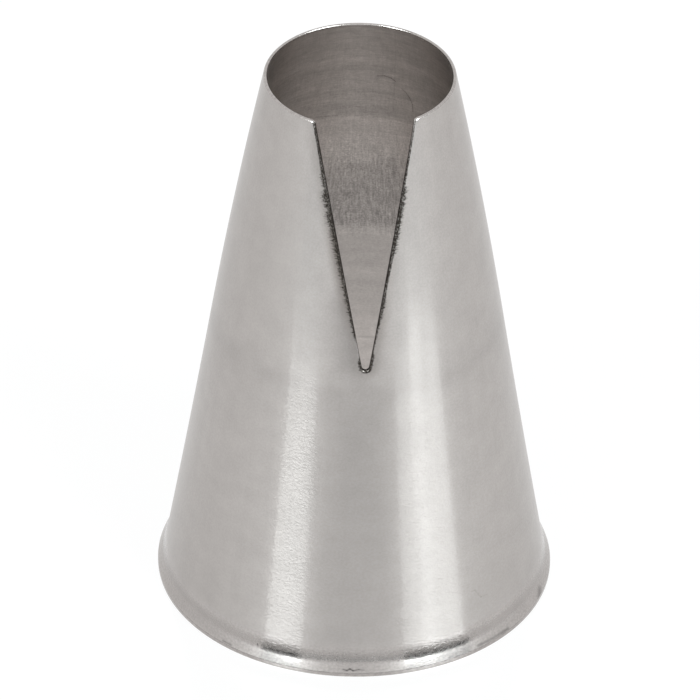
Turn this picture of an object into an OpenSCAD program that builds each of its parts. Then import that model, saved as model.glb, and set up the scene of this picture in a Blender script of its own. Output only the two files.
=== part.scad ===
// Piping nozzle drawn from one piece of sheet steel: a tapering tube with a short
// flared foot, a rounded mouth and one deep V notch down its front.
// Origin at the centre of the foot's underside, +Z up the axis, notch facing -Y.

/* [Overall] */
// Outer diameter of the foot
foot_d = 35.0; // [32:0.1:40]
// Height from the foot to the mouth
nozzle_h = 51.7; // [45:0.1:60]
// Outer diameter of the mouth
mouth_d = 16.6; // [14:0.1:20]

/* [Drawn wall] */
// Sheet thickness at the foot, where drawing has thinned it least
foot_wall = 0.45; // [0.35:0.01:0.7]
// Sheet thickness at the mouth, where drawing has thinned it most
mouth_wall = 0.30; // [0.25:0.01:0.6]
// How far the nose has drawn in from a straight taper by the mouth
nose_draw = 0.65; // [0:0.05:1.2]
// How far the skirt has spread from a straight taper by the foot
skirt_spread = 0.25; // [0:0.05:0.6]

/* [Foot flare] */
// Height of the flare, from the foot to its bend
flare_h = 1.5; // [1:0.05:3]
// How far the foot stands out beyond the skirt
flare_step = 0.35; // [0.2:0.01:0.8]
// Height of the trimmed upright edge at the foot
foot_edge_h = 0.38; // [0.2:0.01:0.6]
// Length of sheet that the flare's bend takes on each side of its corner
flare_bend = 0.25; // [0.1:0.01:0.4]

/* [Notch] */
// Width of the notch at the mouth
notch_w = 8.74; // [6:0.02:11]
// Height of the notch's lowest point above the foot
notch_tip_z = 29.2; // [20:0.1:38]
// Radius of the notch's round tip
notch_tip_r = 0.33; // [0.2:0.01:0.8]
// Radius of the two corners where the notch meets the mouth
notch_corner_r = 0.30; // [0.1:0.01:0.6]

/* [Hidden] */
$fn = 180;

// Steps along the wall's slow curve, round the mouth's lip, round a bend of the
// flare and round an arc of the notch
wall_steps = 24;
lip_steps = 10;
bend_steps = 5;
arc_steps = 10;
// Overrun of a cut past the face that it opens
cut_over = 1.0;

foot_r = foot_d / 2;
mouth_r = mouth_d / 2;
skirt_r = foot_r - flare_step;
lip_r = mouth_wall / 2;

function blend(a, b, share) = a + (b - a) * share;
function square(v) = v * v;

// Outer radius of the drawn wall at a height: a straight taper that the skirt
// spreads below half height and the nose draws in above it.
function taper_r(z) = blend(skirt_r - skirt_spread, mouth_r + nose_draw, z / nozzle_h);
function bow(z) = 2 * z / nozzle_h - 1;
function outer_r(z) = taper_r(z) + square(bow(z)) * (bow(z) < 0 ? skirt_spread : -nose_draw);
function wall_t(z) = blend(foot_wall, mouth_wall, z / nozzle_h);
function inner_r(z) = outer_r(z) - wall_t(z);

// The flare's outer face, and its inner face one sheet thickness behind it
flare_slope = (foot_r - outer_r(flare_h)) / (flare_h - foot_edge_h);
flare_wall = foot_wall * sqrt(1 + square(flare_slope));
foot_inner_r = foot_r + foot_edge_h * flare_slope - flare_wall;
skirt_slope = (inner_r(0) - inner_r(flare_h)) / flare_h;
inner_bend_z = (foot_inner_r - inner_r(0)) / (flare_slope - skirt_slope);
inner_bend = [foot_inner_r - inner_bend_z * flare_slope, inner_bend_z];
outer_bend = [outer_r(flare_h), flare_h];

// A corner rounded over a length of both of its sides
function toward(p, q, len) = p + (q - p) * len / norm(q - p);
function bend_point(a, b, c, t) = square(1 - t) * a + 2 * t * (1 - t) * b + square(t) * c;
function rounded(before, corner, after, len) = [
    for (i = [0 : bend_steps])
        bend_point(toward(corner, before, len), corner, toward(corner, after, len), i / bend_steps)
];

// Section of the wall: up the outside, over the lip and down the inside
wall_low_z = flare_h + 2 * flare_bend;
wall_high_z = nozzle_h - lip_r;
function wall_z(i) = blend(wall_low_z, wall_high_z, i / wall_steps);
outer_points = [for (i = [0 : wall_steps]) [outer_r(wall_z(i)), wall_z(i)]];
inner_points = [for (i = [wall_steps : -1 : 0]) [inner_r(wall_z(i)), wall_z(i)]];
lip_mid_r = (outer_r(wall_high_z) + inner_r(wall_high_z)) / 2;
lip_points = [
    for (i = [1 : lip_steps - 1])
        let (turn = 180 * i / lip_steps)
        [lip_mid_r + wall_t(wall_high_z) / 2 * cos(turn), wall_high_z + lip_r * sin(turn)]
];
section_points = concat(
    [[foot_r, 0], [foot_r, foot_edge_h]],
    rounded([foot_r, foot_edge_h], outer_bend, outer_points[0], flare_bend),
    outer_points,
    lip_points,
    inner_points,
    rounded(inner_points[wall_steps], inner_bend, [foot_inner_r, 0], flare_bend),
    [[foot_inner_r, 0]]
);

// Half of the notch's outline: round its mouth corner, down the straight side and
// round the tip, each arc ending where the side touches it
notch_half_w = notch_w / 2;
tip_mid_z = notch_tip_z + notch_tip_r;
tip_to_mouth = nozzle_h - tip_mid_z;
side_lean = atan2(notch_half_w, tip_to_mouth)
    - asin(notch_tip_r / norm([notch_half_w, tip_to_mouth]));
corner_mid_x = notch_half_w + notch_corner_r / tan((90 + side_lean) / 2);
function arc(mid, r, from, to) = [
    for (i = [0 : arc_steps])
        let (turn = blend(from, to, i / arc_steps))
        mid + r * [cos(turn), sin(turn)]
];
notch_half = concat(
    [[corner_mid_x, nozzle_h + cut_over]],
    arc([corner_mid_x, nozzle_h - notch_corner_r], notch_corner_r, 90, 180 - side_lean),
    arc([0, tip_mid_z], notch_tip_r, -side_lean, -90)
);
notch_other_half = [
    for (i = [len(notch_half) - 2 : -1 : 0]) [-notch_half[i][0], notch_half[i][1]]
];

module notch() {
    rotate([90, 0, 0])
        linear_extrude(height = foot_r)
            polygon(concat(notch_half, notch_other_half));
}

module nozzle_shell() {
    color("lightslategray")
        difference() {
            rotate_extrude() polygon(section_points);
            notch();
        }
}

nozzle_shell();
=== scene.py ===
# %% [markdown]
# # A piping nozzle in satin stainless steel
#
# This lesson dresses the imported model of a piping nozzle: a steel cone, 51.7 mm tall,
# with a short flared foot and one deep V notch down its front. The nozzle's lengths are
# written in millimetres, as on a drawing, and turned to metres where a vertex is placed.
# The room round it is in metres. The frame is loaded first, because it holds the size
# that the finished piece keeps.

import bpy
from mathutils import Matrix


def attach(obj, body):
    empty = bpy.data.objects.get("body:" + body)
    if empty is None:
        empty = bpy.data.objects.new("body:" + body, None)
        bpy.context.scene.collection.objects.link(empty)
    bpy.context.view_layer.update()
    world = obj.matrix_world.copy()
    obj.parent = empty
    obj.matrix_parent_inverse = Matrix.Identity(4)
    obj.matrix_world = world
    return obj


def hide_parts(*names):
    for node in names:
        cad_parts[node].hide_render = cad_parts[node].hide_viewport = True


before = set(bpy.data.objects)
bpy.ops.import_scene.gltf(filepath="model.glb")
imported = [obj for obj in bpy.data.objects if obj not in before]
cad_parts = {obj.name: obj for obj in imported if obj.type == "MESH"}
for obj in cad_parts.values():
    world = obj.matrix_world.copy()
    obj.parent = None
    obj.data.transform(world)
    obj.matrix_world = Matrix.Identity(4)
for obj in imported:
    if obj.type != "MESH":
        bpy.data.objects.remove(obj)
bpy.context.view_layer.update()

# %% Bring in the tools
import math

import bpy
import numpy as np
from mathutils import Matrix, Vector

MM = 0.001
print("Blender", bpy.app.version_string)

# %% [markdown]
# ## The camera
#
# The photograph was taken from far off with a long lens, about 35 degrees above the
# table, so the foot's ellipse and the mouth's are nearly the same shape. The notch
# is turned a little to the picture's right, and the picture leans by less than a
# degree. A camera that looks straight at the nozzle needs no lens shift.

# %% Place the camera
CAMERA_AWAY = 800.0
CAMERA_UP = math.radians(34.90)
CAMERA_ROUND = math.radians(-3.7)
CAMERA_ROLL = math.radians(0.71)
PICTURE_PX = 700
FOCAL_PX = 9125.0
AXIS_HEIGHT = 26.0
AXIS_IN_PICTURE = (357.0, 319.7)

aim_point = Vector((0.0, 0.0, AXIS_HEIGHT))
backward = Vector((
    math.sin(CAMERA_ROUND) * math.cos(CAMERA_UP),
    -math.cos(CAMERA_ROUND) * math.cos(CAMERA_UP),
    math.sin(CAMERA_UP),
))
level_right = Vector((math.cos(CAMERA_ROUND), math.sin(CAMERA_ROUND), 0.0))
level_up = backward.cross(level_right)
camera_right = math.cos(CAMERA_ROLL) * level_right + math.sin(CAMERA_ROLL) * level_up
camera_up = math.cos(CAMERA_ROLL) * level_up - math.sin(CAMERA_ROLL) * level_right

mm_per_px = CAMERA_AWAY / FOCAL_PX
picture_middle = PICTURE_PX / 2
aim_point -= camera_right * (AXIS_IN_PICTURE[0] - picture_middle) * mm_per_px
aim_point -= camera_up * (picture_middle - AXIS_IN_PICTURE[1]) * mm_per_px
camera_spot = Vector((0.0, 0.0, AXIS_HEIGHT)) + backward * CAMERA_AWAY
backward = (camera_spot - aim_point).normalized()
camera_up = (camera_up - camera_up.dot(backward) * backward).normalized()
camera_right = camera_up.cross(backward)

camera_data = bpy.data.cameras.new("camera")
camera_data.sensor_width = 36.0
camera_data.lens = FOCAL_PX / PICTURE_PX * camera_data.sensor_width
camera = bpy.data.objects.new("camera", camera_data)
bpy.context.scene.collection.objects.link(camera)
turn = Matrix((camera_right, camera_up, backward)).transposed()
camera.matrix_world = Matrix.Translation(camera_spot * MM) @ turn.to_4x4()
bpy.context.scene.camera = camera
bpy.context.scene.view_settings.view_transform = "Standard"
print("lens in mm:", round(camera_data.lens, 1))

# %% [markdown]
# ## The drawn wall
#
# The real nozzle starts as a flat disc of steel that is pressed through a row of dies
# until it is a cone. Its wall is a straight taper that spreads a little at the skirt
# and draws in at the nose, and it thins from foot to mouth. The part's source says so
# in one short formula, and the lesson repeats it, so both keep the same shape.

# %% The wall's radius and thickness at any height
FOOT_R = 35.0 / 2
NOZZLE_H = 51.7
MOUTH_R = 16.6 / 2
FOOT_WALL = 0.45
MOUTH_WALL = 0.30
NOSE_DRAW = 0.65
SKIRT_SPREAD = 0.25
FLARE_H = 1.5
FLARE_STEP = 0.35
FOOT_EDGE_H = 0.38
FLARE_BEND = 0.25


def outer_r(z):
    """Outer radius of the drawn wall at a height."""
    share = z / NOZZLE_H
    low = FOOT_R - FLARE_STEP - SKIRT_SPREAD
    taper = low + (MOUTH_R + NOSE_DRAW - low) * share
    bow = 2 * share - 1
    return taper + bow ** 2 * np.where(bow < 0, SKIRT_SPREAD, -NOSE_DRAW)


def wall_t(z):
    """Level thickness of the wall at a height."""
    return FOOT_WALL + (MOUTH_WALL - FOOT_WALL) * z / NOZZLE_H


def inner_r(z):
    """Inner radius of the drawn wall at a height."""
    return outer_r(z) - wall_t(z)


print("outer radius at mid height:", round(float(outer_r(NOZZLE_H / 2)), 2))

# %% [markdown]
# ## The foot's flare
#
# The last 1.5 mm of the skirt is bent outwards, so that the nozzle seats in its bag and
# the edge is stiff. Below the bend is the trimmed edge, cut square and then tumbled,
# which breaks both of its corners. The profile is a list of points in the plane of
# radius and height, and each bend is a small curve between its two straight runs. The
# outer bend reaches further along both runs than the inner one, as tumbling leaves it.

# %% Draw the flare's profile
BEND_STEPS = 14
BEND_LOW_REACH = 0.50
BEND_HIGH_REACH = 1.15
WALL_START = 1.3
BROKEN_CORNER = 0.05
CORNER_STEPS = 4


def bend(before, corner, after, reaches, steps):
    """A corner of the profile, rounded over a reach along each of its sides."""
    before, corner, after = np.array(before), np.array(corner), np.array(after)
    start = corner + (before - corner) * reaches[0] / np.linalg.norm(before - corner)
    end = corner + (after - corner) * reaches[1] / np.linalg.norm(after - corner)
    share = np.linspace(0, 1, steps + 1)[:, None]
    curve = (1 - share) ** 2 * start + 2 * share * (1 - share) * corner + share ** 2 * end
    return [tuple(point) for point in curve]


flare_slope = (FOOT_R - float(outer_r(FLARE_H))) / (FLARE_H - FOOT_EDGE_H)
flare_wall = FOOT_WALL * math.hypot(1, flare_slope)
foot_inner_r = FOOT_R + FOOT_EDGE_H * flare_slope - flare_wall
skirt_slope = float(inner_r(0.0) - inner_r(FLARE_H)) / FLARE_H
inner_bend_z = (foot_inner_r - float(inner_r(0.0))) / (flare_slope - skirt_slope)

wall_low_z = FLARE_H + WALL_START
inner_low = (float(inner_r(wall_low_z)), wall_low_z)
outer_low = (float(outer_r(wall_low_z)), wall_low_z)
inner_corner = (foot_inner_r - inner_bend_z * flare_slope, inner_bend_z)
outer_corner = (float(outer_r(FLARE_H)), FLARE_H)
foot_inside = (foot_inner_r, 0.0)
foot_outside = (FOOT_R, 0.0)
foot_edge_top = (FOOT_R, FOOT_EDGE_H)

inner_reaches = (FLARE_BEND, FLARE_BEND)
outer_reaches = (BEND_LOW_REACH, BEND_HIGH_REACH)
broken = (BROKEN_CORNER, BROKEN_CORNER)
foot_profile = (
    bend(inner_low, inner_corner, foot_inside, inner_reaches, BEND_STEPS)
    + bend(inner_corner, foot_inside, foot_outside, broken, CORNER_STEPS)
    + bend(foot_inside, foot_outside, foot_edge_top, broken, CORNER_STEPS)
    + bend(foot_outside, foot_edge_top, outer_corner, broken, CORNER_STEPS)
    + bend(foot_edge_top, outer_corner, outer_low, outer_reaches, BEND_STEPS)
)
print("points in the foot's profile:", len(foot_profile))

# %% [markdown]
# ## The notch
#
# A V is cut out of the front of the nose, from the mouth to a little above the middle.
# Its sides lean apart by about ten degrees each, its tip is round, and where it meets
# the mouth both corners are rounded. Half of the outline is enough, because the other
# half is its mirror image. Each point also keeps the direction that leads from the
# edge into the metal, which is needed to round the edge.

# %% Draw half of the notch
NOTCH_HALF_W = 8.74 / 2
NOTCH_TIP_Z = 29.2
NOTCH_TIP_R = 0.33
NOTCH_CORNER_R = 0.30
TIP_STEPS = 8
SIDE_STEPS = 60
MOUTH_CORNER_STEPS = 8

tip_mid_z = NOTCH_TIP_Z + NOTCH_TIP_R
tip_to_mouth = NOZZLE_H - tip_mid_z
side_lean = math.atan2(NOTCH_HALF_W, tip_to_mouth) - math.asin(
    NOTCH_TIP_R / math.hypot(NOTCH_HALF_W, tip_to_mouth))
corner_mid_x = NOTCH_HALF_W + NOTCH_CORNER_R / math.tan((math.pi / 2 + side_lean) / 2)
corner_mid_z = NOZZLE_H - NOTCH_CORNER_R

tip_turn = np.linspace(-math.pi / 2, -side_lean, TIP_STEPS + 1)
corner_turn = np.linspace(math.pi - side_lean, math.pi / 2, MOUTH_CORNER_STEPS + 1)
tip_arc = np.array([NOTCH_TIP_R * np.cos(tip_turn),
                    tip_mid_z + NOTCH_TIP_R * np.sin(tip_turn)]).T
corner_arc = np.array([corner_mid_x + NOTCH_CORNER_R * np.cos(corner_turn),
                       corner_mid_z + NOTCH_CORNER_R * np.sin(corner_turn)]).T
side_share = np.linspace(0, 1, SIDE_STEPS + 1)[1:-1, None]
side_line = tip_arc[-1] + (corner_arc[0] - tip_arc[-1]) * side_share
notch_half = np.concatenate([tip_arc, side_line, corner_arc])

side_inward = np.tile([math.cos(side_lean), -math.sin(side_lean)], (SIDE_STEPS - 1, 1))
tip_inward = np.array([np.cos(tip_turn), np.sin(tip_turn)]).T
corner_inward = -np.array([np.cos(corner_turn), np.sin(corner_turn)]).T
notch_inward = np.concatenate([tip_inward, side_inward, corner_inward])
print("side of the notch leans by", round(math.degrees(side_lean), 1), "degrees")

# %% [markdown]
# ## The free edge
#
# Mouth and notch share one long edge of sheet. At the mouth it is a half round lip. On
# the notch the tool's exit and the tumbling have rolled the outer corner over, the cut
# face is nearly flat, and the inner corner is only broken. Every point of the edge
# therefore has a short cross section, given as how far it lies from the edge and
# which share of the wall's thickness it lies at.

# %% Work out the edge's stations
COLUMNS = 208
BAND_STEPS = 14
LIP_R = MOUTH_WALL / 2
ROLL_REACH = 0.20
ROLL_DEPTH = 0.36
BREAK_REACH = 0.05
BREAK_DEPTH = 0.14
CUT_MIDDLE = 0.62


def on_wall(point, inward):
    """Angle and height of the outline's points, and the way into the metal there."""
    angle = np.arcsin(point[:, 0] / outer_r(point[:, 1]))
    way = np.stack([inward[:, 0], inward[:, 1] / np.cos(angle)], axis=1)
    way /= np.linalg.norm(way, axis=1)[:, None]
    return np.stack([angle, point[:, 1]], axis=1), way


side_place, side_way = on_wall(notch_half, notch_inward)
corner_angle = side_place[-1, 0]
rim_angle = np.linspace(corner_angle, 2 * math.pi - corner_angle, COLUMNS + 1)[1:-1]
rim_place = np.stack([rim_angle, np.full(rim_angle.shape, NOZZLE_H)], axis=1)
rim_way = np.tile([0.0, -1.0], (len(rim_angle), 1))
far_place = side_place[::-1] * [-1, 1] + [2 * math.pi, 0]
far_way = side_way[::-1] * [-1, 1]
edge_place = np.concatenate([side_place, rim_place, far_place])
edge_way = np.concatenate([side_way, rim_way, far_way])
side_count = len(side_place)
print("stations round the free edge:", len(edge_place))

# %% Shape the edge's cross section
def eased(share):
    """A share of 0 to 1, slowed down at both ends."""
    return share ** 2 * (3 - 2 * share)


band_turn = np.linspace(0, math.pi, BAND_STEPS + 1)
half_band = BAND_STEPS // 2
roll_turn = np.linspace(0, math.pi / 2, half_band)
break_turn = np.linspace(math.pi / 2, 0, half_band)
rim_away = LIP_R * (1 - np.sin(band_turn))
rim_share = (1 - np.cos(band_turn)) / 2
notch_away = np.concatenate([
    ROLL_REACH * (1 - np.sin(roll_turn)), [0.0], BREAK_REACH * (1 - np.sin(break_turn))])
notch_share = np.concatenate([
    ROLL_DEPTH * (1 - np.cos(roll_turn)), [CUT_MIDDLE],
    1 - BREAK_DEPTH * (1 - np.cos(break_turn))])

rim_weight = np.zeros(len(edge_place))
corner_from = side_count - MOUTH_CORNER_STEPS - 1
rim_weight[corner_from:side_count] = eased(np.linspace(0, 1, MOUTH_CORNER_STEPS + 1))
rim_weight[side_count:] = 1.0
rim_weight[-side_count:] = rim_weight[:side_count][::-1]
weight = rim_weight[:, None]
band_away = weight * rim_away + (1 - weight) * notch_away
band_share = weight * rim_share + (1 - weight) * notch_share
print("points across the edge:", band_away.shape[1])

# %% [markdown]
# ## One skin from mouth to foot and back
#
# The shell is a single grid. Its rows start at the mouth's inside, run down the inner
# wall, round the foot and up the outer wall to the mouth again. Its columns run from
# the notch's right side round the back to the left side. Below the notch the first
# and last column meet in a seam that is welded. A strip across the free edge closes it.
# Spinning a profile and cutting it with a boolean would be shorter, but a boolean leaves
# slivers along the cut, and metal shows every one of them. This grid has clean quads.

# %% Lay out rows and columns
RING_STEPS = 38
RELAX_ANGLE = math.radians(35)


def place_on_wall(place, way, away, share):
    """Angle, radius and height a distance away from the edge, at a share of the wall."""
    height = place[:, 1] + way[:, 1] * away
    angle = place[:, 0] + way[:, 0] * away / outer_r(place[:, 1])
    return np.stack([angle, outer_r(height) - share * wall_t(height), height], axis=1)


def wall_rows(away, share):
    """Rows from the seam's foot to the mouth on one face of the wall."""
    edge = place_on_wall(side_place, side_way, away, share)
    top = edge[-1, 2]
    rows = []
    column = np.linspace(0, 1, COLUMNS + 1)
    for z in np.linspace(wall_low_z, edge[0, 2], RING_STEPS + 1)[:-1]:
        angle = 2 * math.pi * column
        rows.append(np.stack([angle, np.full(angle.shape, z)], axis=1))
    for step, (start, _, z) in enumerate(edge):
        angle = start + (2 * math.pi - 2 * start) * column
        even_z = edge[0, 2] + (top - edge[0, 2]) * step / (len(edge) - 1)
        near = np.minimum(angle, 2 * math.pi - angle) - start
        relaxed = eased(np.clip(near / RELAX_ANGLE, 0, 1))
        rows.append(np.stack([angle, z + (even_z - z) * relaxed], axis=1))
    rows = np.array(rows)
    radius = outer_r(rows[..., 1]) - share * wall_t(rows[..., 1])
    return np.stack([rows[..., 0], radius, rows[..., 1]], axis=2)


outer_rows = wall_rows(band_away[:side_count, 0], 0.0)
inner_rows = wall_rows(band_away[:side_count, -1], 1.0)
ring_angle = np.linspace(0, 2 * math.pi, COLUMNS + 1)
foot_rows = np.array([
    np.stack([ring_angle, np.full(COLUMNS + 1, r), np.full(COLUMNS + 1, z)], axis=1)
    for r, z in foot_profile])
skin = np.concatenate([inner_rows[::-1], foot_rows, outer_rows])
print("rows and columns of the skin:", skin.shape[:2])

# %% Build the shell's mesh
WELD = 0.0005


def to_frame(polar):
    """Angle, radius and height in mm to a point of the frame in metres."""
    angle, radius, height = polar[..., 0], polar[..., 1], polar[..., 2]
    return np.stack([radius * np.sin(angle), -radius * np.cos(angle), height],
                    axis=-1) * MM


def grid_faces(first, rows, columns):
    """Quads between neighbouring rows and columns of a grid of vertices."""
    corner = first + np.arange(rows - 1)[:, None] * columns + np.arange(columns - 1)
    corner = corner.ravel()
    return np.stack([corner, corner + 1, corner + columns + 1, corner + columns], axis=1)


band = np.stack([
    place_on_wall(edge_place, edge_way, band_away[:, step], band_share[:, step])
    for step in range(BAND_STEPS + 1)])
points = np.concatenate([to_frame(skin).reshape(-1, 3), to_frame(band).reshape(-1, 3)])
faces = np.concatenate([
    grid_faces(0, skin.shape[0], skin.shape[1]),
    grid_faces(skin.shape[0] * skin.shape[1], band.shape[0], band.shape[1])])
shell_mesh = bpy.data.meshes.new("nozzle_wall")
shell_mesh.from_pydata(points.tolist(), [], faces.tolist())

# %% [markdown]
# Two things that the finish needs are measured while the grid is still in order. Every
# vertex keeps its distance from the notch, where residue darkens the wall. Every face
# knows if it belongs to the outside, to the inside or to the trimmed edges.

# %% Measure the distance from the notch and sort the faces
FAR_FROM_NOTCH = 20.0
OUTSIDE, INSIDE, EDGE = 0, 1, 2


def notch_distance(polar):
    """Distance in mm from the notch's outline, seen from the front."""
    across = np.abs(polar[:, 1] * np.sin(polar[:, 0]))
    height = polar[:, 2]
    start, end = notch_half[:-1], notch_half[1:]
    run = end - start
    away = np.full(len(polar), FAR_FROM_NOTCH)
    for (x0, z0), (dx, dz) in zip(start, run):
        along = ((across - x0) * dx + (height - z0) * dz) / (dx * dx + dz * dz)
        along = np.clip(along, 0, 1)
        away = np.minimum(away, np.hypot(across - x0 - along * dx,
                                         height - z0 - along * dz))
    return np.where(np.cos(polar[:, 0]) > 0, away, FAR_FROM_NOTCH)


polar_points = np.concatenate([skin.reshape(-1, 3), band.reshape(-1, 3)])
from_notch = notch_distance(polar_points)
inner_count = len(inner_rows)
foot_kind = [INSIDE] * (BEND_STEPS + 1) + [EDGE] * (3 * CORNER_STEPS + 2)
row_kind = [INSIDE] * (inner_count - 1) + foot_kind
row_kind += [OUTSIDE] * (len(skin) - 1 - len(row_kind))
band_kind = np.full((BAND_STEPS, len(edge_place) - 1), EDGE)
band_kind[:half_band, rim_weight[:-1] < 0.5] = OUTSIDE
face_kind = np.concatenate([np.repeat(row_kind, COLUMNS), band_kind.ravel()])
print("faces outside, inside, edge:", np.bincount(face_kind))

# %% Weld the seams and point the faces outwards
import bmesh

distance_layer = shell_mesh.attributes.new("from_notch", "FLOAT", "POINT")
distance_layer.data.foreach_set("value", from_notch.astype(np.float32))
shell_mesh.polygons.foreach_set("material_index", face_kind.astype(np.int32))
shell_bm = bmesh.new()
shell_bm.from_mesh(shell_mesh)
bmesh.ops.remove_doubles(shell_bm, verts=shell_bm.verts, dist=WELD * MM)
bmesh.ops.recalc_face_normals(shell_bm, faces=shell_bm.faces)
open_edges = [edge for edge in shell_bm.edges if not edge.is_manifold]
print("open edges:", len(open_edges), "volume in mm3:",
      round(shell_bm.calc_volume(signed=True) / MM ** 3, 1))
for face in shell_bm.faces:
    face.smooth = True
shell_bm.to_mesh(shell_mesh)
shell_bm.free()
nozzle = bpy.data.objects.new("nozzle_wall", shell_mesh)
bpy.context.scene.collection.objects.link(nozzle)
even_shading = nozzle.modifiers.new("even_shading", "WEIGHTED_NORMAL")
even_shading.keep_sharp = True
print("faces:", len(shell_mesh.polygons))

# %% [markdown]
# ## Stainless steel in three finishes
#
# The nozzle is 18/8 stainless steel, one sheet with three finishes. The outside was
# tumbled with abrasive stones until it was satin, the inside is as the press left it,
# and the edges were cut. All three start as a metal that reflects a little under half
# of the light, slightly warm, and differ in roughness, in pattern and in residue. A
# metal's colour already says how much it reflects, so its IOR keeps the default.

# %% One helper for nodes and one for colours


def linear(hex_colour):
    """An sRGB hex colour as the linear values that a shader reads."""
    parts = [int(hex_colour[at:at + 2], 16) / 255 for at in (1, 3, 5)]
    line = [part / 12.92 if part <= 0.04045 else ((part + 0.055) / 1.055) ** 2.4
            for part in parts]
    return (*line, 1.0)


def add_node(tree, kind, values=None, links=None, **settings):
    """Adds a node with its settings, its sockets' values and its incoming links.

    A link comes from a socket, or from a node, which stands for its first output.
    """
    made = tree.nodes.new(kind)
    for name, value in settings.items():
        setattr(made, name, value)
    for name, value in (values or {}).items():
        made.inputs[name].default_value = value
    for name, origin in (links or {}).items():
        socket = origin.outputs[0] if hasattr(origin, "outputs") else origin
        tree.links.new(socket, made.inputs[name])
    return made


def new_material(name):
    """A node material and its node tree, still empty."""
    material = bpy.data.materials.new(name)
    material.use_nodes = True
    material.node_tree.nodes.clear()
    return material, material.node_tree


print("white in linear light:", linear("#FFFFFF")[0])

# %% [markdown]
# ## Patterns that follow the wall
#
# Drawing and spinning leave marks that run round the wall or straight up it. A noise in
# plain space would cut across them. Here a point of the cone is first moved level to a
# drum of the wall's mean radius, and the noise is read there. Stretching it round the
# drum gives rings, stretching it up gives streaks, turning it a little makes them lean,
# and there is no seam at the back. Most of a noise lies between 0.3 and 0.7, so a pattern
# is stretched from that range, or from its core where it should be harder.

# %% Place, height and drum point of a point on the wall
PER_METRE = 1 / MM
MEAN_R = 12.0


def wall_places(tree):
    """Sockets in millimetres: a point's place, its height and its place on the drum."""
    object_place = add_node(tree, "ShaderNodeTexCoord").outputs["Object"]
    place = add_node(tree, "ShaderNodeVectorMath", {"Scale": PER_METRE}, {
        0: object_place}, operation="SCALE")
    height = add_node(tree, "ShaderNodeSeparateXYZ", None, {0: place}).outputs["Z"]
    level = add_node(tree, "ShaderNodeVectorMath", {1: (1, 1, 0)}, {0: place},
                     operation="MULTIPLY")
    way = add_node(tree, "ShaderNodeVectorMath", None, {0: level}, operation="NORMALIZE")
    up = add_node(tree, "ShaderNodeCombineXYZ", None, {"Z": height})
    drum = add_node(tree, "ShaderNodeVectorMath", {1: (MEAN_R,) * 3}, {0: way, 2: up},
                    operation="MULTIPLY_ADD")
    return place, height, drum


NOISE_RANGE = {"From Min": 0.3, "From Max": 0.7}
NOISE_CORE = {"From Min": 0.35, "From Max": 0.65}


def wall_noise(tree, places, wide_mm, tall_mm, detail=1.0, distortion=0.0, lean=0.0):
    """A noise whose spots are wide round the wall and tall up it, in millimetres."""
    spot = add_node(tree, "ShaderNodeMapping", {
        "Scale": (wide_mm, wide_mm, tall_mm), "Rotation": (0, math.radians(lean), 0)},
        {"Vector": places[2]}, vector_type="TEXTURE")
    return add_node(tree, "ShaderNodeTexNoise", {
        "Scale": 1.0, "Detail": detail, "Distortion": distortion}, {"Vector": spot})


def by_height(tree, places, stops):
    """Values that change with height, from pairs of a height in mm and a value or three."""
    share = add_node(tree, "ShaderNodeMath", {1: 1 / NOZZLE_H}, {0: places[1]},
                     operation="MULTIPLY")
    ramp = add_node(tree, "ShaderNodeValToRGB", None, {0: share})
    elements = ramp.color_ramp.elements
    while len(elements) < len(stops):
        elements.new(0.5)
    for element, (height, value) in zip(elements, stops):
        element.position = height / NOZZLE_H
        element.color = (*np.broadcast_to(value, 3), 1)
    return ramp


# %% [markdown]
# Wear has no pattern: each scratch and smudge is where it is. Both are drawn the same
# way, on the drum. Its two ends are given in degrees round the wall, from the notch to
# the right, and in millimetres of height. A point is dropped onto the straight line
# between them, and the mark fades with the distance to there. A curved hairline is a
# few short lines.

# %% Scratches and smudges
def on_drum(degrees, height):
    """The drum point at an angle round the wall and a height."""
    angle = math.radians(degrees)
    return Vector((MEAN_R * math.sin(angle), -MEAN_R * math.cos(angle), height))


def marked(tree, places, shade, marks):
    """Changes a shade along marks: two ends, half width in mm, and shade at the core."""
    for start, end, half_mm, depth in marks:
        start, run = on_drum(*start), on_drum(*end) - on_drum(*start)
        offset = add_node(tree, "ShaderNodeVectorMath", {1: start}, {0: places[2]},
                          operation="SUBTRACT")
        along = add_node(tree, "ShaderNodeVectorMath", {1: run / run.length_squared}, {
            0: offset}, operation="DOT_PRODUCT").outputs["Value"]
        share = add_node(tree, "ShaderNodeClamp", None, {"Value": along})
        nearest = add_node(tree, "ShaderNodeVectorMath", {1: run, 2: start}, {0: share},
                           operation="MULTIPLY_ADD")
        away = add_node(tree, "ShaderNodeVectorMath", None, {
            0: places[2], 1: nearest}, operation="DISTANCE").outputs["Value"]
        mark = add_node(tree, "ShaderNodeMapRange", {
            "From Min": 0.0, "From Max": half_mm, "To Min": depth, "To Max": 1.0},
            {"Value": away}, interpolation_type="SMOOTHSTEP")
        shade = add_node(tree, "ShaderNodeMath", None, {0: shade, 1: mark},
                         operation="MULTIPLY")
    return shade
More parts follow.
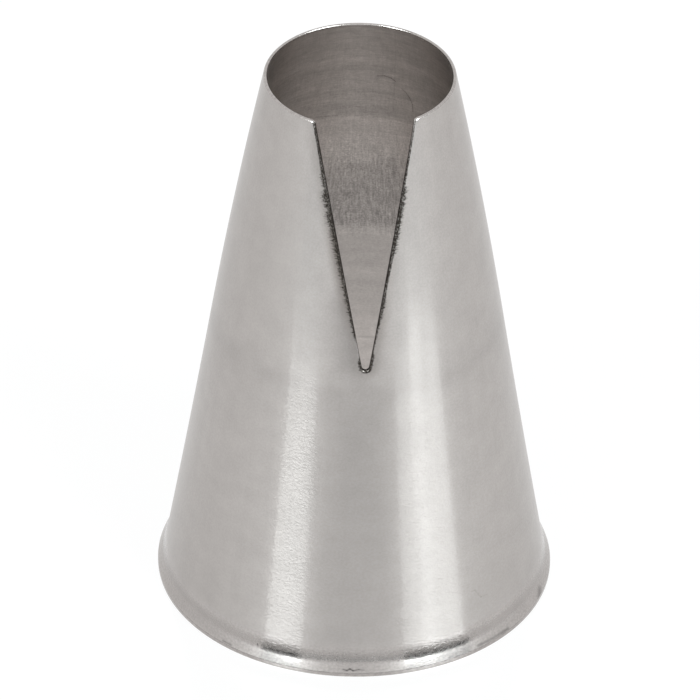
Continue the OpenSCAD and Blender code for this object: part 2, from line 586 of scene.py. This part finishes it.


# %% [markdown]
# ## The dark fringe along the notch
#
# The notch was punched after the wall was drawn, and its rolled-over outer corner turns
# towards the dark inside and mirrors it. That dark is also painted into the colour as a
# painted reflection: a thin line along the edge, then a fuzz of specks and short ticks
# that thins out like a torn edge, and round both a faint brown painted shade. The line is
# thinner near the mouth, and not the same on both sides. The mesh knows each point's
# distance from the notch. For the heights of each side, a table gives how far the line
# and the fuzz reach in millimetres, and how strong the painted shade is.

# %% Where the painted dark fringe lies
NOTCH_DARK_LEFT = [
    (28.4, (0.04, 0.16, 0.1)), (28.9, (0.15, 0.18, 0.25)), (30.1, (0.15, 0.18, 0.25)),
    (30.5, (0.0, 0.08, 0.2)), (31.7, (0.0, 0.12, 0.2)), (32.4, (0.02, 0.30, 0.25)),
    (33.4, (0.05, 0.34, 0.4)), (35.5, (0.09, 0.42, 0.75)), (39.5, (0.12, 0.46, 1.0)),
    (41.5, (0.16, 0.54, 0.85)), (43.8, (0.19, 0.56, 0.6)), (45.3, (0.18, 0.68, 0.5)),
    (45.8, (0.13, 0.34, 0.3)), (46.9, (0.13, 0.46, 0.35)), (47.4, (0.15, 0.12, 0.4)),
    (49.0, (0.12, 0.06, 0.35)), (51.5, (0.09, 0.05, 0.15))]
NOTCH_DARK_RIGHT = [
    (28.4, (0.04, 0.16, 0.1)), (28.9, (0.15, 0.18, 0.3)), (30.6, (0.15, 0.20, 0.35)),
    (31.1, (0.02, 0.12, 0.35)), (32.6, (0.03, 0.20, 0.45)), (33.8, (0.08, 0.26, 0.5)),
    (35.2, (0.15, 0.26, 0.35)), (36.6, (0.14, 0.10, 0.2)), (39.3, (0.15, 0.12, 0.2)),
    (39.9, (0.15, 0.40, 0.15)), (42.0, (0.19, 0.36, 0.1)), (44.5, (0.12, 0.42, 0.1)),
    (45.5, (0.09, 0.42, 0.1)), (46.2, (0.03, 0.14, 0.0)), (51.5, (0.02, 0.03, 0.0))]
SPECK_MM = 0.15
TICK_LONG_MM = 0.5
TICK_THIN_MM = 0.13
RAGGED = (0.3, 1.4)
SPECK_COVER = (0.58, 1.3)
THINNEST_LINE_MM = 0.02
PAINTED_SHADE_MM = 1.3


def notch_dark_shares(tree, places):
    """How much of a point the painted dark fringe covers, and how much its painted shade
    does.
    """
    away = add_node(tree, "ShaderNodeAttribute", attribute_name="from_notch").outputs["Fac"]
    across = add_node(tree, "ShaderNodeSeparateXYZ", None, {0: places[0]}).outputs["X"]
    on_right = add_node(tree, "ShaderNodeMath", {1: 0.0}, {0: across},
                        operation="GREATER_THAN")
    reaches = add_node(tree, "ShaderNodeMix", None, {
        0: on_right, 6: by_height(tree, places, NOTCH_DARK_LEFT),
        7: by_height(tree, places, NOTCH_DARK_RIGHT)}, data_type="RGBA").outputs[2]
    line, fuzz, shade_strength = add_node(tree, "ShaderNodeSeparateColor", None, {0: reaches}).outputs
    ticks = wall_noise(tree, places, TICK_LONG_MM, TICK_THIN_MM)
    ragged = add_node(tree, "ShaderNodeMapRange", {
        **NOISE_RANGE, "To Min": RAGGED[0], "To Max": RAGGED[1]}, {"Value": ticks})
    fuzz_end = add_node(tree, "ShaderNodeMath", None, {0: fuzz, 1: ragged, 2: line},
                        operation="MULTIPLY_ADD")
    thinning = add_node(tree, "ShaderNodeMapRange", {"To Min": 1.0, "To Max": 0.0}, {
        "Value": away, "From Min": line, "From Max": fuzz_end},
        interpolation_type="SMOOTHSTEP")
    specks = add_node(tree, "ShaderNodeMapRange", {
        **NOISE_CORE, "To Min": SPECK_COVER[0], "To Max": SPECK_COVER[1]},
        {"Value": wall_noise(tree, places, SPECK_MM, SPECK_MM)})
    line_present = add_node(tree, "ShaderNodeMapRange", {
        "From Min": 0.0, "From Max": THINNEST_LINE_MM}, {"Value": line})
    line_specks = add_node(tree, "ShaderNodeMath", None, {0: specks, 1: line_present},
                            operation="MULTIPLY")
    dark_cover = add_node(tree, "ShaderNodeMath", None, {0: thinning, 1: line_specks},
                       operation="MULTIPLY", use_clamp=True)
    fading = add_node(tree, "ShaderNodeMapRange", {
        "From Min": 0.0, "From Max": PAINTED_SHADE_MM, "To Min": 1.0, "To Max": 0.0},
        {"Value": away}, interpolation_type="SMOOTHSTEP")
    shade_cover = add_node(tree, "ShaderNodeMath", None, {0: shade_strength, 1: fading},
                      operation="MULTIPLY")
    return dark_cover, shade_cover


# %% [markdown]
# ## The tumbled outside
#
# Tumbling leaves a satin that is really three finishes side by side, too fine to see one
# by one: a few polished ridges that mirror sharply, smoothed metal between them, and
# pits that scatter. One roughness can't show a crisp band inside a wide glow, so three
# metals of different roughness are mixed. Ripples run under them as a bump and break up
# the highlights. The spinning that finished the cone drew them out round the wall, about
# a seventh of a millimetre tall, twice as wide and leaning a little. They are deepest in
# the bend of the flare, where the tool turned, and shallower on the right than the left.

# %% Spinning ripples for the outside
RIPPLE_TALL_MM = 0.14
RIPPLE_WIDE_MM = 0.27
RIPPLE_DISTORTION = 0.6
RIPPLE_LEAN = 14.0
RIPPLE_HEIGHT_MM = [(0.0, 0.002), (1.1, 0.003), (1.3, 0.0125), (2.0, 0.014),
                    (2.7, 0.009), (24.0, 0.009), (31.0, 0.0045), (50.0, 0.0015)]
RIPPLE_SIDES = (1.0, 0.92)

satin, satin_tree = new_material("tumbled_stainless_steel")
satin_places = wall_places(satin_tree)
ripple = wall_noise(satin_tree, satin_places, RIPPLE_WIDE_MM, RIPPLE_TALL_MM,
                    distortion=RIPPLE_DISTORTION, lean=RIPPLE_LEAN)
satin_across = add_node(satin_tree, "ShaderNodeSeparateXYZ", None, {0: satin_places[0]})
ripple_side = add_node(satin_tree, "ShaderNodeMapRange", {
    "From Min": -MEAN_R, "From Max": MEAN_R, "To Min": RIPPLE_SIDES[0] * MM,
    "To Max": RIPPLE_SIDES[1] * MM}, {"Value": satin_across.outputs["X"]})
ripple_height = add_node(satin_tree, "ShaderNodeMath", None, {
    0: by_height(satin_tree, satin_places, RIPPLE_HEIGHT_MM),
    1: ripple_side}, operation="MULTIPLY")
ripple_bump = add_node(satin_tree, "ShaderNodeBump", {"Strength": 1.0}, {
    "Distance": ripple_height, "Height": ripple})

# %% [markdown]
# The colour is nearly even. Clouds, faint streaks up the wall and a fine grit shift it
# by a few hundredths. A ring a little below the notch, where the wall left one die and
# met the next, is darker. The flare, the bend above it and the lowest part of the wall
# are darkened as well: that is painted shade, which deepens the dark bend and dims the
# reflections on the flare and the lower wall. The marks start with a broad darkening down
# the front, partly a handling smudge and partly painted shade for the darker table that
# the front mirrors, and a patch of painted shade at the left of the notch. They go on
# with nicks on the flare and one hair scratch. The grit is drawn at a fifth of a
# millimetre, coarser than the real one, because a finer one would vanish.

# %% The outside's shade
STEEL_HEX = "#ADA8A5"
OUTSIDE_PATTERNS = ((2.0, 1.5, 2.0, 0.035), (0.6, 14.0, 1.0, 0.012),
                    (0.22, 0.15, 1.0, 0.012))
# Painted shade on the flare, its bend and the lowest wall; the dip at 26 to 28 mm is the
# die ring.
HEIGHT_SHADE = [(0.0, 1.0), (0.42, 1.0), (0.6, 0.94), (1.2, 0.94), (1.45, 0.86),
              (1.75, 0.88), (2.2, 0.98), (3.0, 0.95), (9.0, 0.98), (16.0, 1.0),
              (25.0, 1.0), (26.2, 0.975), (26.9, 0.935), (27.4, 0.94), (28.3, 0.985),
              (29.6, 1.0)]
OUTSIDE_MARKS = [
    # The first mark is partly a handling smudge and partly painted shade; the second is
    # painted shade.
    ((-4.0, 4.0), (-4.0, 24.0), 5.5, 0.89),
    ((-3.2, 30.5), (-6.6, 34.7), 3.2, 0.74),
    ((-6.4, 0.67), (-5.4, 0.59), 0.10, 0.45),
    ((-5.4, 0.59), (-4.5, 0.72), 0.10, 0.40),
    ((-4.5, 0.72), (-3.6, 0.58), 0.10, 0.35),
    ((-3.6, 0.58), (-1.9, 0.68), 0.09, 0.50),
    ((-1.9, 0.68), (-0.4, 0.62), 0.08, 0.65),
    ((68.7, 0.70), (66.5, 0.35), 0.45, 0.62),
    ((35.7, 0.56), (47.8, 0.50), 0.20, 0.55),
    ((36.0, 5.71), (37.4, 5.69), 0.10, 0.88),
    ((37.4, 5.69), (39.6, 4.75), 0.12, 0.86),
    ((39.6, 4.75), (41.9, 4.67), 0.12, 0.90),
    ((-44.8, 0.52), (-41.7, 0.50), 0.12, 0.60)]

satin_shade = by_height(satin_tree, satin_places, HEIGHT_SHADE)
for wide, tall, detail, depth in OUTSIDE_PATTERNS:
    pattern = wall_noise(satin_tree, satin_places, wide, tall, detail)
    pattern_shade = add_node(satin_tree, "ShaderNodeMapRange", {
        **NOISE_RANGE, "To Min": 1 - depth, "To Max": 1 + depth}, {"Value": pattern})
    satin_shade = add_node(satin_tree, "ShaderNodeMath", None, {
        0: satin_shade, 1: pattern_shade}, operation="MULTIPLY")
satin_shade = marked(satin_tree, satin_places, satin_shade, OUTSIDE_MARKS)
print("marks outside:", len(OUTSIDE_MARKS))

# %% The outside's colour, under the painted shade and the painted dark fringe
# Colours of the painted dark reflection along the notch and of the painted shade round it.
NOTCH_DARK_HEX = "#35312D"
PAINTED_SHADE_HEX = "#746D68"
satin_clean = add_node(satin_tree, "ShaderNodeVectorMath", {
    0: linear(STEEL_HEX)[:3]}, {"Scale": satin_shade}, operation="SCALE")
notch_dark_share, painted_shade_share = notch_dark_shares(satin_tree, satin_places)
satin_painted_shade = add_node(satin_tree, "ShaderNodeMix", {7: linear(PAINTED_SHADE_HEX)}, {
    0: painted_shade_share, 6: satin_clean}, data_type="RGBA")
satin_darkened = add_node(satin_tree, "ShaderNodeMix", {7: linear(NOTCH_DARK_HEX)}, {
    0: notch_dark_share, 6: satin_painted_shade.outputs[2]}, data_type="RGBA")

# %% [markdown]
# The three finishes share one colour and one bump. The polished share is larger on the
# flare, which its die burnished, and it changes from speck to speck. Only a lamp's
# reflection shows that, as the sandy look of the bright bands. The specks are drawn at a
# sixth of a millimetre, again coarser than the real ones.

# %% Three finishes of the outside, and their shares
RIDGE_ROUGHNESS = 0.07
SMOOTHED_ROUGHNESS = 0.30
PITTED_ROUGHNESS = 0.55
RIDGE_SHARE = [(0.0, 0.52), (1.1, 0.52), (1.35, 0.92), (1.9, 0.85), (2.7, 0.36),
               (50.0, 0.36)]
PITTED_SHARE = [(0.0, 0.05), (1.9, 0.08), (2.7, 0.38), (50.0, 0.38)]
GRIT_MM = 0.17
GRIT_SPREAD = 0.17

steel_parts = [
    add_node(satin_tree, "ShaderNodeBsdfPrincipled", {
        "Metallic": 1.0, "Roughness": roughness}, {
        "Base Color": satin_darkened.outputs[2], "Normal": ripple_bump})
    for roughness in (RIDGE_ROUGHNESS, SMOOTHED_ROUGHNESS, PITTED_ROUGHNESS)]
grit = add_node(satin_tree, "ShaderNodeMapRange", {
    **NOISE_RANGE, "To Min": 1 - GRIT_SPREAD, "To Max": 1 + GRIT_SPREAD},
    {"Value": wall_noise(satin_tree, satin_places, GRIT_MM, GRIT_MM)})
ridge_share = add_node(satin_tree, "ShaderNodeMath", None, {
    0: by_height(satin_tree, satin_places, RIDGE_SHARE), 1: grit},
    operation="MULTIPLY", use_clamp=True)
smooth_mix = add_node(satin_tree, "ShaderNodeMixShader", None, {
    0: ridge_share, 1: steel_parts[1], 2: steel_parts[0]})
satin_mix = add_node(satin_tree, "ShaderNodeMixShader", None, {
    0: by_height(satin_tree, satin_places, PITTED_SHARE),
    1: smooth_mix, 2: steel_parts[2]})
add_node(satin_tree, "ShaderNodeOutputMaterial", None, {"Surface": satin_mix})
print("finishes in the satin:", len(steel_parts))

# %% [markdown]
# ## The drawn inside
#
# No stone reached the inside, so it keeps every mark of the press. Each punch ended at
# its own height and left a ring, bright where the sheet was ironed and dull where it was
# not. Fine rings come from the die, and streaks up the wall from the sheet sliding over
# the punch. Two hairlines and a few dashes were scratched later. Each pattern below is a
# noise, stretched up or round the wall, with a table of how deep it is at each height:
# streaks, grain, fine rings, wide bands and clouds. The streaks and the grain are drawn
# at a sixth of a millimetre, coarser than the real ones, so that the picture holds them.
# The streaks and the fine rings are pressed in as well, as a slight bump.

# %% How deep the inside's patterns are, and where its scratches lie
INSIDE_HEX = "#B3ADA9"
# Besides the rings, the inside is darker from about 17 to 35 mm, most from 28.6 to 34.4 mm,
# and lighter below 16 mm.
INSIDE_SHADE = [(0.0, 1.08), (14.05, 1.06), (14.2, 0.75), (14.35, 1.06), (16.2, 1.06),
                (17.2, 0.93), (26.8, 0.90), (28.6, 0.70), (30.0, 0.72), (34.4, 0.78),
                (35.1, 0.93), (36.8, 1.08), (40.6, 1.07), (40.8, 0.90), (41.3, 0.93),
                (44.2, 0.95), (44.6, 1.05), (44.9, 0.95), (47.2, 0.97), (47.6, 1.08),
                (47.9, 0.96), (49.2, 1.0), (51.7, 0.97)]
SLIDE_DEPTH = [(0.0, 0.10), (26.0, 0.12), (28.0, 1.2), (35.5, 1.1), (37.0, 0.6),
               (40.6, 0.3), (51.7, 0.2)]
GRAIN_DEPTH = [(0.0, 0.34), (26.0, 0.36), (28.5, 1.0), (36.0, 0.9), (40.5, 0.55),
               (51.7, 0.28)]
RING_DEPTH = [(0.0, 0.14), (27.0, 0.16), (36.0, 0.3), (41.0, 0.55), (51.7, 0.55)]
CLOUD_DEPTH = [(0.0, 0.22), (51.7, 0.28)]
INSIDE_PATTERNS = (
    ((0.19, 1.1, 2.0), SLIDE_DEPTH), ((0.17, 0.13), GRAIN_DEPTH),
    ((3.2, 0.27, 2.0, 1.8), RING_DEPTH), ((30.0, 1.3), CLOUD_DEPTH),
    ((1.3, 0.9, 2.0, 0.5), CLOUD_DEPTH))
INSIDE_MARKS = [
    ((166.9, 45.64), (162.8, 45.75), 0.11, 0.62),
    ((162.8, 45.75), (159.0, 45.62), 0.11, 0.62),
    ((159.0, 45.62), (156.5, 45.27), 0.11, 0.62),
    ((153.4, 44.62), (150.9, 44.22), 0.10, 0.70),
    ((150.9, 44.22), (149.3, 43.78), 0.10, 0.64),
    ((149.3, 43.78), (147.7, 43.05), 0.10, 0.64),
    ((147.7, 43.05), (148.0, 42.21), 0.11, 0.62),
    ((-161.2, 41.11), (-164.6, 41.03), 0.10, 0.70),
    ((-165.8, 40.99), (-169.0, 40.95), 0.10, 0.72),
    ((-169.9, 40.93), (-172.8, 40.90), 0.08, 0.82),
    ((180.0, 48.45), (168.3, 48.52), 0.07, 0.86),
    ((154.4, 51.30), (158.8, 41.90), 0.12, 0.90),
    ((160.4, 35.91), (160.4, 35.11), 0.45, 0.85)]
print("patterns and marks inside:", len(INSIDE_PATTERNS), len(INSIDE_MARKS))

# %% Lay the inside's patterns and marks over each other
inside, inside_tree = new_material("drawn_stainless_steel")
inside_places = wall_places(inside_tree)
inside_shade = by_height(inside_tree, inside_places, INSIDE_SHADE)
inside_noises = []
for sizes, depth_table in INSIDE_PATTERNS:
    noise = wall_noise(inside_tree, inside_places, *sizes)
    off_mean = add_node(inside_tree, "ShaderNodeMath", {1: 0.5}, {0: noise},
                        operation="SUBTRACT")
    pattern_shade = add_node(inside_tree, "ShaderNodeMath", {2: 1.0}, {
        0: off_mean, 1: by_height(inside_tree, inside_places, depth_table)},
        operation="MULTIPLY_ADD")
    inside_shade = add_node(inside_tree, "ShaderNodeMath", None, {
        0: inside_shade, 1: pattern_shade}, operation="MULTIPLY")
    inside_noises.append(noise)
inside_shade = marked(inside_tree, inside_places, inside_shade, INSIDE_MARKS)
inside_colour = add_node(inside_tree, "ShaderNodeVectorMath", {
    0: linear(INSIDE_HEX)[:3]}, {"Scale": inside_shade}, operation="SCALE")

# %% Put the inside's finish together
INSIDE_ROUGHNESS = 0.30
INSIDE_BUMP_MM = 0.003
inside_height = add_node(inside_tree, "ShaderNodeMath", None, {
    0: inside_noises[0], 1: inside_noises[2]}, operation="ADD")
inside_bump = add_node(inside_tree, "ShaderNodeBump", {
    "Strength": 1.0, "Distance": INSIDE_BUMP_MM * MM}, {"Height": inside_height})
inside_shader = add_node(inside_tree, "ShaderNodeBsdfPrincipled", {
    "Metallic": 1.0, "Roughness": INSIDE_ROUGHNESS}, {
    "Base Color": inside_colour, "Normal": inside_bump})
add_node(inside_tree, "ShaderNodeOutputMaterial", None, {"Surface": inside_shader})
print("bump of the inside in mm:", INSIDE_BUMP_MM)

# %% [markdown]
# ## The cut edges
#
# The lip and the foot were trimmed and then tumbled bright. The notch's cut face has
# painted light and shade in its colour: very dark round its tip, where it would mirror a
# lamp, dark up most of its sides like the fringe beside it, and brighter than the steel
# just above the tip and near the mouth, where it mirrors the dark inside. Under the flare
# a thin dark line of residue follows the trimmed edge.

# %% The trimmed edges
# Painted shade and light on the notch's cut face from 28.7 mm up; the line at 0.36 mm is
# residue.
CUT_SHADE = [(0.0, 0.95), (0.27, 0.92), (0.36, 0.60), (0.44, 0.9), (28.7, 0.9),
             (29.0, 0.04), (30.1, 0.10), (30.5, 1.8), (31.9, 1.8), (33.0, 0.3),
             (45.5, 0.3), (47.0, 0.9), (48.5, 1.25), (51.2, 1.25), (51.5, 1.0)]
TRIMMED_ROUGHNESS = 0.25
CUT_SPECKS = (0.25, 0.15, 2.0)
CUT_SPREAD = 0.12

trimmed, trimmed_tree = new_material("trimmed_stainless_edge")
trimmed_places = wall_places(trimmed_tree)
cut_specks = add_node(trimmed_tree, "ShaderNodeMapRange", {
    **NOISE_CORE, "To Min": 1 - CUT_SPREAD, "To Max": 1 + CUT_SPREAD},
    {"Value": wall_noise(trimmed_tree, trimmed_places, *CUT_SPECKS)})
cut_shade = add_node(trimmed_tree, "ShaderNodeMath", None, {
    0: cut_specks, 1: by_height(trimmed_tree, trimmed_places, CUT_SHADE)},
    operation="MULTIPLY")
trimmed_colour = add_node(trimmed_tree, "ShaderNodeVectorMath", {
    0: linear(STEEL_HEX)[:3]}, {"Scale": cut_shade}, operation="SCALE")
trimmed_shader = add_node(trimmed_tree, "ShaderNodeBsdfPrincipled", {
    "Metallic": 1.0, "Roughness": TRIMMED_ROUGHNESS}, {"Base Color": trimmed_colour})
add_node(trimmed_tree, "ShaderNodeOutputMaterial", None, {"Surface": trimmed_shader})
for finish in (satin, inside, trimmed):
    shell_mesh.materials.append(finish)
print("finishes on the wall:", len(shell_mesh.materials))

# %% Hand the piece to the frame
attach(nozzle, "root")
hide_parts("nozzle_shell")
print("the new wall stands for the packed shell")

# %% [markdown]
# ## The table
#
# The nozzle stands on a sheet of white acrylic, as in a small product studio. Its body
# is white and its face is glossy, so the satin wall mirrors both the white and the
# lamps that the face mirrors. The camera sees the sheet almost pure white, and the small
# rest keeps the nozzle's shadow. Only the metal sees a soft darker patch in front, where
# the camera keeps light off the sheet. That patch is what greys the front of the wall.

# %% Lay the table
TABLE_HALF = 6.0
TABLE_HEX = "#E8E8E8"
WHITE = linear("#FFFFFF")


def flat_panel(name, corners):
    """A single face with these corners, put into the scene."""
    mesh = bpy.data.meshes.new(name)
    mesh.from_pydata([tuple(corner) for corner in corners], [], [range(len(corners))])
    panel = bpy.data.objects.new(name, mesh)
    bpy.context.scene.collection.objects.link(panel)
    return panel


table = flat_panel("table", [
    (-TABLE_HALF, -TABLE_HALF, 0), (TABLE_HALF, -TABLE_HALF, 0),
    (TABLE_HALF, TABLE_HALF, 0), (-TABLE_HALF, TABLE_HALF, 0)])
print("table side in metres:", 2 * TABLE_HALF)

# %% What the camera and the mirror rays see
def seen_share(tree):
    """1 for a ray that the camera or a mirror sends, and 0 for light that scatters."""
    path = add_node(tree, "ShaderNodeLightPath")
    return add_node(tree, "ShaderNodeMath", None, {
        0: path.outputs["Is Camera Ray"], 1: path.outputs["Is Glossy Ray"]},
        operation="ADD", use_clamp=True)


print("white for the camera:", WHITE)

# %% White acrylic with a shaded patch
GLOW_SHARE = 0.93
SHADE_AWAY = 0.080
SHADE_REACH = 0.060
SHADE_LEVEL = 0.72
ACRYLIC_IOR = 1.5
ACRYLIC_ROUGHNESS = 0.05

acrylic, acrylic_tree = new_material("white_acrylic")
acrylic_body = add_node(acrylic_tree, "ShaderNodeBsdfDiffuse", {"Color": linear(TABLE_HEX)})
from_shade = add_node(acrylic_tree, "ShaderNodeVectorMath", {1: (0, -SHADE_AWAY, 0)}, {
    0: add_node(acrylic_tree, "ShaderNodeTexCoord").outputs["Object"]},
    operation="DISTANCE")
table_glow = add_node(acrylic_tree, "ShaderNodeMapRange", {
    "From Min": 0.0, "From Max": SHADE_REACH, "To Min": SHADE_LEVEL, "To Max": 1.0},
    {"Value": from_shade.outputs["Value"]}, interpolation_type="SMOOTHSTEP")
camera_ray = add_node(acrylic_tree, "ShaderNodeLightPath").outputs["Is Camera Ray"]
table_white = add_node(acrylic_tree, "ShaderNodeMath", None, {
    0: table_glow, 1: camera_ray}, operation="MAXIMUM")
acrylic_glow = add_node(acrylic_tree, "ShaderNodeEmission", {"Color": WHITE}, {
    "Strength": table_white})
table_share = add_node(acrylic_tree, "ShaderNodeMath", {1: GLOW_SHARE}, {
    0: seen_share(acrylic_tree)}, operation="MULTIPLY")
acrylic_lit = add_node(acrylic_tree, "ShaderNodeMixShader", None, {
    0: table_share, 1: acrylic_body, 2: acrylic_glow})
acrylic_fresnel = add_node(acrylic_tree, "ShaderNodeFresnel", {"IOR": ACRYLIC_IOR})
acrylic_gloss = add_node(acrylic_tree, "ShaderNodeBsdfGlossy", {
    "Color": WHITE, "Roughness": ACRYLIC_ROUGHNESS})
acrylic_coat = add_node(acrylic_tree, "ShaderNodeMixShader", None, {
    0: acrylic_fresnel, 1: acrylic_lit, 2: acrylic_gloss})
add_node(acrylic_tree, "ShaderNodeOutputMaterial", None, {"Surface": acrylic_coat})
table.data.materials.append(acrylic)
print("shaded patch in metres from the nozzle:", SHADE_AWAY)

# %% [markdown]
# ## The room
#
# Metal shows its surroundings, so the room matters as much as the lamps. It is white
# paper all round, at a level that lights the nozzle softly. The camera and the mirror
# rays see it as white. Low behind the camera hangs pale grey cloth: the middle of the
# flare is greyer than its sides because it mirrors that.

# %% The white room
ROOM_LEVEL = 0.75
world = bpy.data.worlds.new("room")
bpy.context.scene.world = world
world.use_nodes = True
world_tree = world.node_tree
world_tree.nodes.clear()
room_light = add_node(world_tree, "ShaderNodeBackground", {
    "Color": WHITE, "Strength": ROOM_LEVEL})
room_white = add_node(world_tree, "ShaderNodeBackground", {"Color": WHITE, "Strength": 1.0})
room_mix = add_node(world_tree, "ShaderNodeMixShader", None, {
    0: seen_share(world_tree), 1: room_light, 2: room_white})
add_node(world_tree, "ShaderNodeOutputWorld", None, {"Surface": room_mix})
print("room level:", ROOM_LEVEL)

# %% The grey cloth behind the camera
CLOTH_AWAY = 2.2
CLOTH_HALF = 1.3
CLOTH_HIGH = 0.32


def cloth(name, hex_colour):
    """A plain cloth that scatters all the light it gives back."""
    material, tree = new_material(name)
    weave = add_node(tree, "ShaderNodeBsdfDiffuse", {"Color": linear(hex_colour)})
    add_node(tree, "ShaderNodeOutputMaterial", None, {"Surface": weave})
    return material


toward_camera = Vector((math.sin(CAMERA_ROUND), -math.cos(CAMERA_ROUND), 0))
cloth_middle = toward_camera * CLOTH_AWAY
cloth_side, cloth_up = level_right * CLOTH_HALF, Vector((0, 0, CLOTH_HIGH))
grey_hanging = flat_panel("grey_hanging", [
    cloth_middle - cloth_side, cloth_middle + cloth_side,
    cloth_middle + cloth_side + cloth_up, cloth_middle - cloth_side + cloth_up])
grey_hanging.data.materials.append(cloth("grey_cloth", "#DCDCDC"))
grey_hanging.visible_camera = False
print("grey cloth up to", round(math.degrees(math.atan2(CLOTH_HIGH, CLOTH_AWAY)), 1),
      "degrees above the table")

# %% [markdown]
# ## The lamps
#
# Two tall softboxes stand left and right of the camera. Each shows twice on the nozzle:
# as a long band down the wall, which mirrors it by way of the table, and as a white
# patch on the flare, which mirrors it straight. Below each hangs a dark apron, and the
# bend above the flare turns from one to the other, which is why it is dark there. An
# outline is given in degrees round and above the nozzle, because that is how it is read
# off a reflection. The right lamp's foot sags in its middle, and both aprons are cut
# slanting, which gives the dark strips on the flare their pointed ends.

# %% Hang a flat outline upright in front of the nozzle
SOFTBOX_AWAY = 0.8


def hung_place(turn, round_degrees, up_degrees):
    """Metres sideways and up, on an upright plane that faces the nozzle at a turn."""
    apart = math.radians(round_degrees) - turn
    along = SOFTBOX_AWAY / math.cos(apart)
    return SOFTBOX_AWAY * math.tan(apart), along * math.tan(math.radians(up_degrees))


def hang(name, turn, outline, material):
    """An upright flat piece of the stage with its outline in degrees round and up."""
    panel = flat_panel(name, [(*hung_place(turn, *point), 0) for point in outline])
    panel.data.materials.append(material)
    outward = Vector((math.sin(turn), -math.cos(turn), 0))
    sideways = Vector((math.cos(turn), math.sin(turn), 0))
    axes = Matrix((sideways, Vector((0, 0, 1)), outward)).transposed()
    panel.matrix_world = Matrix.Translation(outward * SOFTBOX_AWAY) @ axes.to_4x4()
    panel.visible_camera = False


print("softboxes", SOFTBOX_AWAY, "m away")

# %% [markdown]
# A softbox's cloth is brighter in front of its bulb and falls off at its foot. The light
# is slightly cool, which the warm steel turns to a neutral white.

# %% The glowing cloth of a softbox
FOOT_LEVEL = 0.35
LAMP_HEX = "#F5FDFF"


def glowing_cloth(name, level, bulb_x, bulb_half, bulb_share, low_height, soft_height):
    """A cloth that glows at a level, more round its bulb and less at its foot."""
    glow, tree = new_material(name)
    place = add_node(tree, "ShaderNodeSeparateXYZ", None, {
        0: add_node(tree, "ShaderNodeTexCoord").outputs["Object"]})
    from_bulb = add_node(tree, "ShaderNodeMath", {1: bulb_x}, {0: place.outputs["X"]},
                         operation="SUBTRACT")
    off_bulb = add_node(tree, "ShaderNodeMath", None, {0: from_bulb}, operation="ABSOLUTE")
    across = add_node(tree, "ShaderNodeMapRange", {
        "From Min": 0.0, "From Max": bulb_half, "To Min": level * bulb_share,
        "To Max": level}, {"Value": off_bulb}, interpolation_type="SMOOTHSTEP")
    rising = add_node(tree, "ShaderNodeMapRange", {
        "From Min": low_height, "From Max": soft_height, "To Min": FOOT_LEVEL,
        "To Max": 1.0}, {"Value": place.outputs["Y"]})
    strength = add_node(tree, "ShaderNodeMath", None, {0: across, 1: rising},
                        operation="MULTIPLY")
    light = add_node(tree, "ShaderNodeEmission", {"Color": linear(LAMP_HEX)}, {
        "Strength": strength})
    add_node(tree, "ShaderNodeOutputMaterial", None, {"Surface": light})
    return glow


print("lamp cloth in linear light:", [round(part, 3) for part in linear(LAMP_HEX)[:3]])

# %% Put up both softboxes and their aprons
SOFTBOX_TOP = 48.0
CAMERA_TURN = math.degrees(CAMERA_ROUND)
LEFT_FOOT = [(-54.3, 16.6), (-32.6, 16.5)]
LEFT_APRON = [(-54.3, 13.5), (-49.0, 15.9), (-32.6, 16.2)]
RIGHT_FOOT = [(25.0, 16.4), (34.5, 16.3), (38.5, 14.9), (43.5, 14.9), (49.0, 16.0),
              (56.0, 16.4), (61.8, 17.8)]
RIGHT_APRON = [(25.0, 16.0), (34.5, 15.9), (38.5, 14.6), (48.0, 14.6), (61.8, 10.0)]
dark_cloth = cloth("black_cloth", "#303030")


def softbox(name, foot, apron_top, level, bulb, soft):
    """A softbox with its apron; the bulb is its share, place and reach in degrees."""
    left, right = foot[0][0], foot[-1][0]
    low = min(up for _, up in foot)
    turn = math.radians((left + right) / 2)
    bulb_share, bulb_at, bulb_reach = bulb
    low_height = SOFTBOX_AWAY * math.tan(math.radians(low))
    soft_height = SOFTBOX_AWAY * math.tan(math.radians(low + soft))
    glow = glowing_cloth(
        name + "_cloth", level, hung_place(turn, bulb_at, 0)[0],
        SOFTBOX_AWAY * math.tan(math.radians(bulb_reach)), bulb_share,
        low_height, soft_height)
    hang(name, turn, foot + [(right, SOFTBOX_TOP), (left, SOFTBOX_TOP)], glow)
    hang(name + "_apron", turn, [(left, 0.0), (right, 0.0)] + apron_top[::-1], dark_cloth)


softbox("left_softbox", LEFT_FOOT, LEFT_APRON, level=16.4,
        bulb=(1.12, CAMERA_TURN - 36.0, 8.0), soft=2.0)
softbox("right_softbox", RIGHT_FOOT, RIGHT_APRON, level=12.4,
        bulb=(1.26, CAMERA_TURN + 44.0, 6.5), soft=0.3)
print("softboxes from", LEFT_FOOT[0][0], "to", RIGHT_FOOT[-1][0], "degrees round")
